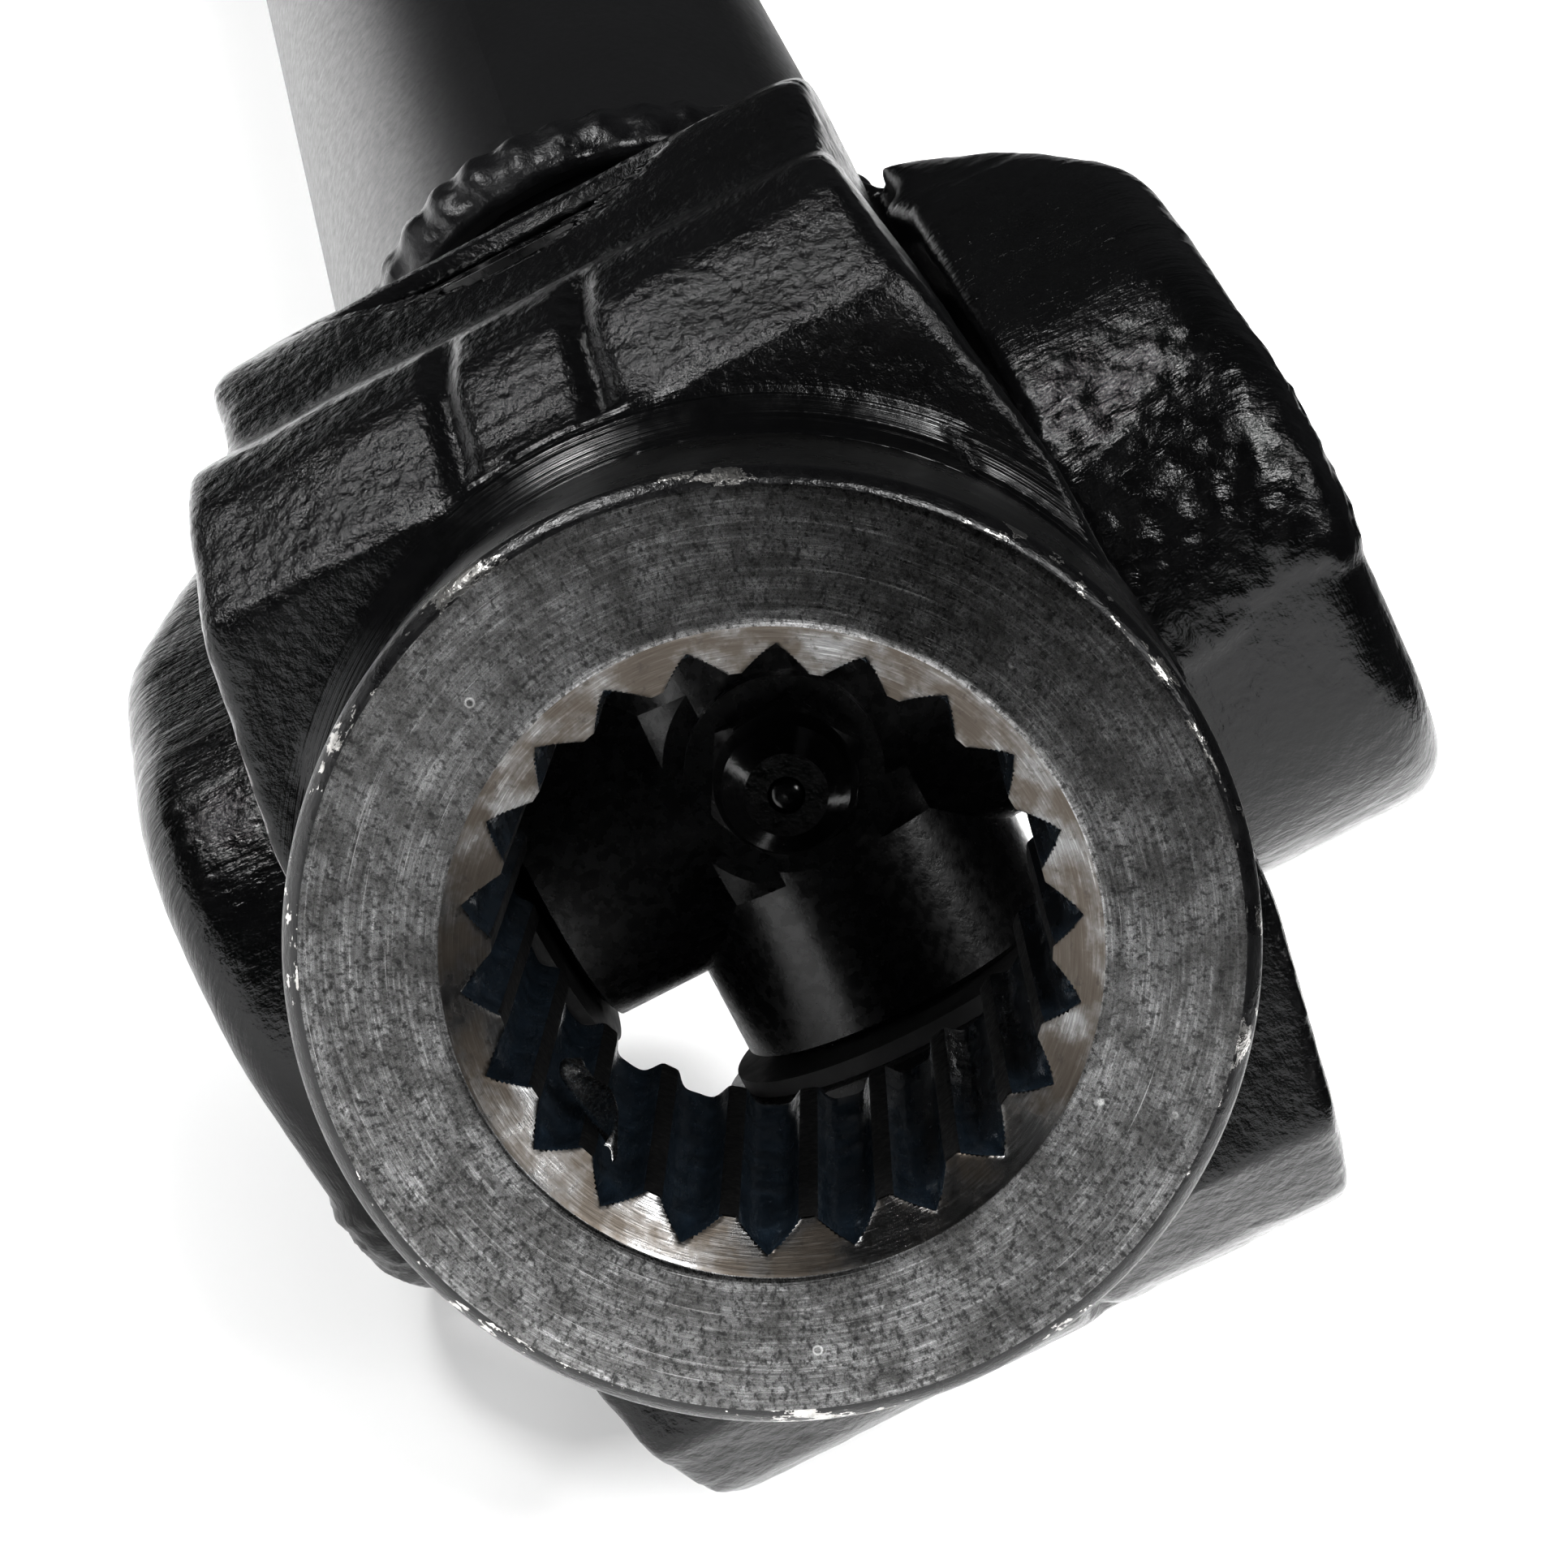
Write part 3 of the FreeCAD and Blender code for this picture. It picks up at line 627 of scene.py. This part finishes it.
def hub(side):
    """turned hub with its bare face, bevels and 22-groove bore, as one closed lathe mesh"""
    world = END[side]
    G, PH = 22, math.radians(13.0)
    PER = 24 if side == "front" else 12
    N = G * PER
    th = np.arange(N) / N * 2 * math.pi
    pitch = 2 * math.pi / G
    u = ((th - PH + pitch / 2) % pitch) / pitch - 0.5          # 0 at groove middle
    RL, RR = 11.1, 12.35
    hw = 0.41
    t = np.clip(np.abs(u) / hw, 0, 1)
    gr = RR - (RR - RL) * np.clip(t, 0, 1)
    # the paint rounds the bottom and the lands' corners a little
    fill = np.array([noise.noise(Vector((i * 0.0, 3.7 * math.cos(a), 3.7 * math.sin(a)))) for i, a in enumerate(th)])
    rows = []      # (x, radius array, material)
    xs_out = [(37.4, 19.3, 4), (40.0, 19.3, 4), (43.0, 19.3, 4), (46.0, 19.3, 4), (49.25, 19.3, 4), (49.42, 19.28, 3), (49.62, 19.15, 3),
              (49.85, 18.92, 3), (49.97, 18.76, 3), (50.0, 18.6, 0)]
    for x, r, m in xs_out:
        rows.append((x, np.full(N, r), m))
    for r in np.linspace(18.2, 13.2, 22):
        rows.append((50.0, np.full(N, r), 0))
    rows.append((49.97, np.full(N, 13.08), 1))
    cx0, cx1, cr0, cr1 = 49.97, 48.65, 13.08, 11.1
    for k in range(1, 15):
        f = k / 14.0
        x = cx0 + (cx1 - cx0) * f
        r = cr0 + (cr1 - cr0) * f
        rows.append((x, np.maximum(r, gr) if r < 12.36 else np.full(N, r), 1))
    xb = list(np.linspace(48.4, 28.2, 44)) + [27.95, 27.72]
    for x in xb:
        e = 0.0
        if x < 28.1:
            e = 0.12
        # lumps of paint along the groove
        lump = np.array([noise.noise(Vector((x * 0.55, 5.5 * math.cos(a), 5.5 * math.sin(a)))) for a in th]) if side == "front" else 0.0
        deep = np.clip((gr - RL) / (RR - RL), 0, 1)
        full = smoothstep(47.2, 48.4, np.array(x))
        flat = RL + 0.78 * (1 - np.exp(-((gr - RL) / 0.42) ** 2))
        rad = full * gr + (1 - full) * flat - 0.16 * lump * deep * (1 - full) + e
        rows.append((x, rad, 2))
    rows.append((27.62, np.full(N, 12.7), 2))
    rows.append((27.62, np.full(N, 13.25), 2))
    rows.append((37.4, np.full(N, 13.3), 2))
    P = np.zeros((len(rows), N, 3))
    for i, (x, r, m) in enumerate(rows):
        P[i, :, 0] = x
        P[i, :, 1] = r * np.cos(th)
        P[i, :, 2] = r * np.sin(th)
    P = P.reshape(-1, 3) * MM
    R = len(rows)
    faces, mi = [], []
    for i in range(R):
        j = (i + 1) % R
        m = rows[i][2] if i + 1 < R else 4
        for k in range(N):
            l = (k + 1) % N
            faces.append((i * N + k, i * N + l, j * N + l, j * N + k))
            mm = m
            if m == 2 and j > 0:
                g0 = 0.5 * (gr[k] + gr[l])
                mm = 5 if g0 < RL + 0.12 else 2
            if m == 1:
                xr = rows[i][0]
                rmid = rows[i][1][k]
                if gr[k] > cr0 + (cr1 - cr0) * (cx0 - xr) / (cx0 - cx1) + 0.02:
                    mm = 2
            mi.append(mm)
    me = bpy.data.meshes.new(side + "_splined_hub")
    me.from_pydata(P.tolist(), [], faces)
    me.polygons.foreach_set("material_index", np.array(mi, np.int32))
    me.polygons.foreach_set("use_smooth", np.ones(len(faces), bool))
    me.update()
    me.validate()
    bm = bmesh.new()
    bm.from_mesh(me)
    bmesh.ops.recalc_face_normals(bm, faces=bm.faces[:])
    for e in bm.edges:
        if len(e.link_faces) == 2 and e.calc_face_angle(0) > math.radians(28):
            e.smooth = False
    bm.to_mesh(me)
    bm.free()
    ob = bpy.data.objects.new(side + "_splined_hub", me)
    bpy.context.scene.collection.objects.link(ob)
    place(ob, world, side + "_end_fork", (side + "_splined_yoke",), (M_FACE, M_CHAM, M_GROOVE, M_CHIP, M_HUB, M_LAND))
    return ob


def weld(side, sx):
    """lumpy, rippled fillet weld round the tube end"""
    world = SHAFT.copy()
    if side == "rear":
        world = axes(joints["rear_spider_swing"]["pos_m"], (-1, 0, 0), joints["rear_spider_swing"]["axis"])
    N, K = 360, 22
    xm, w, h, r0 = -43.6, 6.4, 1.8, 17.5
    pts, faces = [], []
    for i in range(N):
        a = 2 * math.pi * i / N
        ripple = 0.16 * math.cos(a * 46 + 0.9 * math.sin(3 * a))
        lump = 0.55 * noise.noise(Vector((2.6 * math.cos(a), 2.6 * math.sin(a), 3.0 + sx)))
        wob = 0.5 * noise.noise(Vector((1.8 * math.cos(a), 1.8 * math.sin(a), 7.0 + sx)))
        for k in range(K):
            u = k / (K - 1)
            if k == 0 or k == K - 1:
                rr = r0 - 0.5
            else:
                prof = math.sin(math.pi * u) ** 0.75
                fine = 0.10 * noise.noise(Vector((6 * math.cos(a), 6 * math.sin(a), u * 5)))
                rr = r0 - 0.12 + (h - 0.5 + lump + ripple) * prof + fine * prof
            x = xm + (u - 0.5) * (w - 0.7) + wob * (0.6 if 0 < k < K - 1 else 0.6) + 0.25 * math.cos(math.pi * u) * 0
            pts.append((x * MM, rr * math.cos(a) * MM, rr * math.sin(a) * MM))
    for i in range(N):
        j = (i + 1) % N
        for k in range(K - 1):
            faces.append((i * K + k, j * K + k, j * K + k + 1, i * K + k + 1))
        faces.append((i * K + K - 1, j * K + K - 1, j * K, i * K))
    me = bpy.data.meshes.new(side + "_weld")
    me.from_pydata(pts, [], faces)
    me.polygons.foreach_set("use_smooth", np.ones(len(faces), bool))
    bm = bmesh.new(); bm.from_mesh(me)
    bmesh.ops.recalc_face_normals(bm, faces=bm.faces[:])
    bm.to_mesh(me); bm.free()
    ob = bpy.data.objects.new(side + "_weld_seam", me)
    bpy.context.scene.collection.objects.link(ob)
    place(ob, world, "shaft", (side + "_weld_bead",), (M_WELD,))
    return ob


def tube_curve(name, pts, r, world, body, mat, slot_name, taper=True):
    cu = bpy.data.curves.new(name, "CURVE")
    cu.dimensions = "3D"
    cu.bevel_depth = r * MM
    cu.bevel_resolution = 2
    cu.resolution_u = 6
    cu.use_fill_caps = True
    sp = cu.splines.new("NURBS")
    sp.points.add(len(pts) - 1)
    for i, q in enumerate(pts):
        sp.points[i].co = (q[0] * MM, q[1] * MM, q[2] * MM, 1)
        if taper:
            sp.points[i].radius = 0.55 + 0.8 * abs(math.sin(i * 1.7 + len(pts)))
    sp.order_u = 3
    sp.use_endpoint_u = True
    ob = bpy.data.objects.new(name, cu)
    bpy.context.scene.collection.objects.link(ob)
    dg = bpy.context.evaluated_depsgraph_get()
    me = bpy.data.meshes.new_from_object(ob.evaluated_get(dg))
    bpy.data.objects.remove(ob)
    ob = bpy.data.objects.new(name, me)
    bpy.context.scene.collection.objects.link(ob)
    me.polygons.foreach_set("use_smooth", np.ones(len(me.polygons), bool))
    place(ob, world, body, (), (mat,))
    return ob


# ------------------------------------------------------------------ build
for side, sx in (("front", 1), ("rear", -1)):
    vox = 0.36 if side == "front" else 0.5
    forging(side, "end", vox)
    forging(side, "tube", vox + 0.06)
    hub(side)
    weld(side, sx)

def burr():
    """thin bright sliver of metal curled off the broach, left in the bore mouth"""
    N, K = 40, 9
    pts, faces = [], []
    for i in range(N):
        u = i / (N - 1)
        # runs along the bore wall, from the mouth inwards, at the lower left
        ang = math.radians(205 - 16 * u) + 0.05 * math.sin(7 * u)
        rad = 11.0 - 0.35 * math.sin(math.pi * u) - 0.3 * abs(math.sin(5.0 * u))
        x = 48.3 - 6.6 * u + 0.4 * math.sin(9 * u)
        wd = 0.85 * math.sin(math.pi * (0.12 + 0.85 * u)) + 0.12
        tw = 0.6 + 2.6 * u
        for k in range(K):
            v = (k / (K - 1) - 0.5) * 2
            cup = 0.22 * (1 - v * v) + 0.10 * noise.noise(Vector((6 * u, 2 * v, 1.0)))
            da = v * wd * math.cos(tw) / rad
            dr = v * wd * math.sin(tw) * 0.7 - cup
            a = ang + da
            r = rad + dr - 0.3
            pts.append((x * MM, r * math.cos(a) * MM, r * math.sin(a) * MM))
    for i in range(N - 1):
        for k in range(K - 1):
            q = i * K + k
            faces.append((q, q + 1, q + K + 1, q + K))
    me = bpy.data.meshes.new("bore_burr")
    me.from_pydata(pts, [], faces)
    ob = bpy.data.objects.new("bore_burr", me)
    bpy.context.scene.collection.objects.link(ob)
    md = ob.modifiers.new("t", "SOLIDIFY")
    md.thickness = 0.1 * MM
    dg = bpy.context.evaluated_depsgraph_get()
    new = bpy.data.meshes.new_from_object(ob.evaluated_get(dg))
    ob.modifiers.clear()
    ob.data = new
    new.polygons.foreach_set("use_smooth", np.ones(len(new.polygons), bool))
    place(ob, END["front"], "front_end_fork", (), (M_BURR,))
    return ob


burr()
# finishes on the CAD pieces that keep their shape
for n, ob in NODES.items():
    if ob.hide_render:
        continue
    if n == "drive_tube":
        mat = M_TUBE
    elif "cup_seal" in n:
        mat = M_RUB
    elif "snap_ring" in n:
        mat = M_CLIP
    elif "needle" in n:
        mat = M_NEEDLE
    elif "cup" in n:
        mat = M_CUP
    elif "nipple" in n:
        mat = M_NIP
    else:
        mat = M_CROSS
    ob.data.materials.clear()
    ob.data.materials.append(mat)

# ------------------------------------------------------------------ stage
floor_me = bpy.data.meshes.new("floor")
S = 6.0
floor_me.from_pydata([(-S, -S, 0), (S, -S, 0), (S, S, 0), (-S, S, 0)], [], [(0, 1, 2, 3)])
floor = bpy.data.objects.new("floor", floor_me)
bpy.context.scene.collection.objects.link(floor)
floor.location = (0, 0, -0.0004)
fm = Mat("floor_pale")
fm.color(fm.ramp(fm.noise(3.0, 2, 0.5), [(0.3, 0.86), (0.7, 0.88)]))
fm.set(Roughness=0.9, Specular_IOR_Level=0.1)
floor_me.materials.append(fm.m)

# camera at the photograph's place and angle
cam_d = bpy.data.cameras.new("cam")
cam = bpy.data.objects.new("cam", cam_d)
bpy.context.scene.collection.objects.link(cam)
right = Vector((0.17871147, 0.91385734, 0.36459153))
up = Vector((-0.47553052, -0.24417927, 0.84513147))
back = Vector((0.86135529, -0.32440909, 0.39092942))
mw = Matrix((right, up, back)).transposed().to_4x4()
mw.translation = Vector((0.310381, -0.064935, 0.111278))
cam.matrix_world = mw
cam_d.sensor_width = 36.0
cam_d.lens = 5000.0 / 1932.0 * 36.0
cam_d.clip_start = 0.01
cam_d.clip_end = 50
bpy.context.scene.camera = cam


def softbox(name, at, aim, size, power, size_y=None):
    l = bpy.data.lights.new(name, "AREA")
    l.energy = power
    l.shape = "RECTANGLE"
    l.size = size
    l.size_y = size_y or size
    o = bpy.data.objects.new(name, l)
    bpy.context.scene.collection.objects.link(o)
    o.location = at
    o.rotation_mode = "QUATERNION"
    o.rotation_quaternion = (Vector(aim) - Vector(at)).to_track_quat("-Z", "Y")
    return o


tgt = Vector((0.15, 0, 0.035))


def from_dir(az, el, dist):
    a, e = math.radians(az), math.radians(el)
    return tgt + Vector((math.cos(a) * math.cos(e), math.sin(a) * math.cos(e), math.sin(e))) * dist


# the floor has its own lamps, so that it stays pale without washing out the dark paint
only_floor = bpy.data.collections.new("only_floor")
only_floor.objects.link(floor)
lamp_a = softbox("floor_light", (-0.15, 0.08, 1.8), (-0.15, 0.08, 0), 3.2, 76)
lamp_a.light_linking.receiver_collection = only_floor
lamp_a.light_linking.blocker_collection = only_floor
lamp_b = softbox("floor_shadow_light", (-0.15, 0.0, 1.2), (0.0, 0.0, 0), 0.9, 7.5)
lamp_b.light_linking.receiver_collection = only_floor
softbox("key", from_dir(-102, 38, 0.8), tgt, 0.16, 3.4, 0.14)
softbox("fill", from_dir(38, 49, 0.8), tgt, 0.16, 1.6, 0.16)
softbox("crown", from_dir(-10, 51, 0.8), tgt, 0.14, 4.5, 0.3)

world = bpy.data.worlds.new("studio")
bpy.context.scene.world = world
world.use_nodes = True
nt = world.node_tree
nt.nodes.clear()
wo = nt.nodes.new("ShaderNodeOutputWorld")
bg = nt.nodes.new("ShaderNodeBackground")
wtc = nt.nodes.new("ShaderNodeTexCoord")
dot = nt.nodes.new("ShaderNodeVectorMath")
dot.operation = "DOT_PRODUCT"
nt.links.new(wtc.outputs["Generated"], dot.inputs[0])
dot.inputs[1].default_value = Vector((-0.93, 0.35, 0.05)).normalized()
wr = nt.nodes.new("ShaderNodeMapRange")
nt.links.new(dot.outputs["Value"], wr.inputs["Value"])
wr.inputs["From Min"].default_value = 0.1
wr.inputs["From Max"].default_value = 0.9
wr.inputs["To Min"].default_value = 0.012
wr.inputs["To Max"].default_value = 0.12
sep = nt.nodes.new("ShaderNodeSeparateXYZ")
nt.links.new(wtc.outputs["Generated"], sep.inputs[0])
wz = nt.nodes.new("ShaderNodeMapRange")
wz.interpolation_type = "SMOOTHSTEP"
nt.links.new(sep.outputs[2], wz.inputs["Value"])
wz.inputs["From Min"].default_value = 0.0
wz.inputs["From Max"].default_value = 0.34
wz.inputs["To Min"].default_value = 0.12
wz.inputs["To Max"].default_value = 1.0
wm = nt.nodes.new("ShaderNodeMath")
wm.operation = "MULTIPLY"
nt.links.new(wr.outputs[0], wm.inputs[0])
nt.links.new(wz.outputs[0], wm.inputs[1])
nt.links.new(wm.outputs[0], bg.inputs[1])
bg.inputs[0].default_value = (0.95, 0.97, 1.0, 1)
nt.links.new(bg.outputs[0], wo.inputs[0])

bpy.context.scene.view_settings.view_transform = "Standard"
bpy.context.scene.view_settings.look = "None"
bpy.context.scene.view_settings.gamma = 0.82
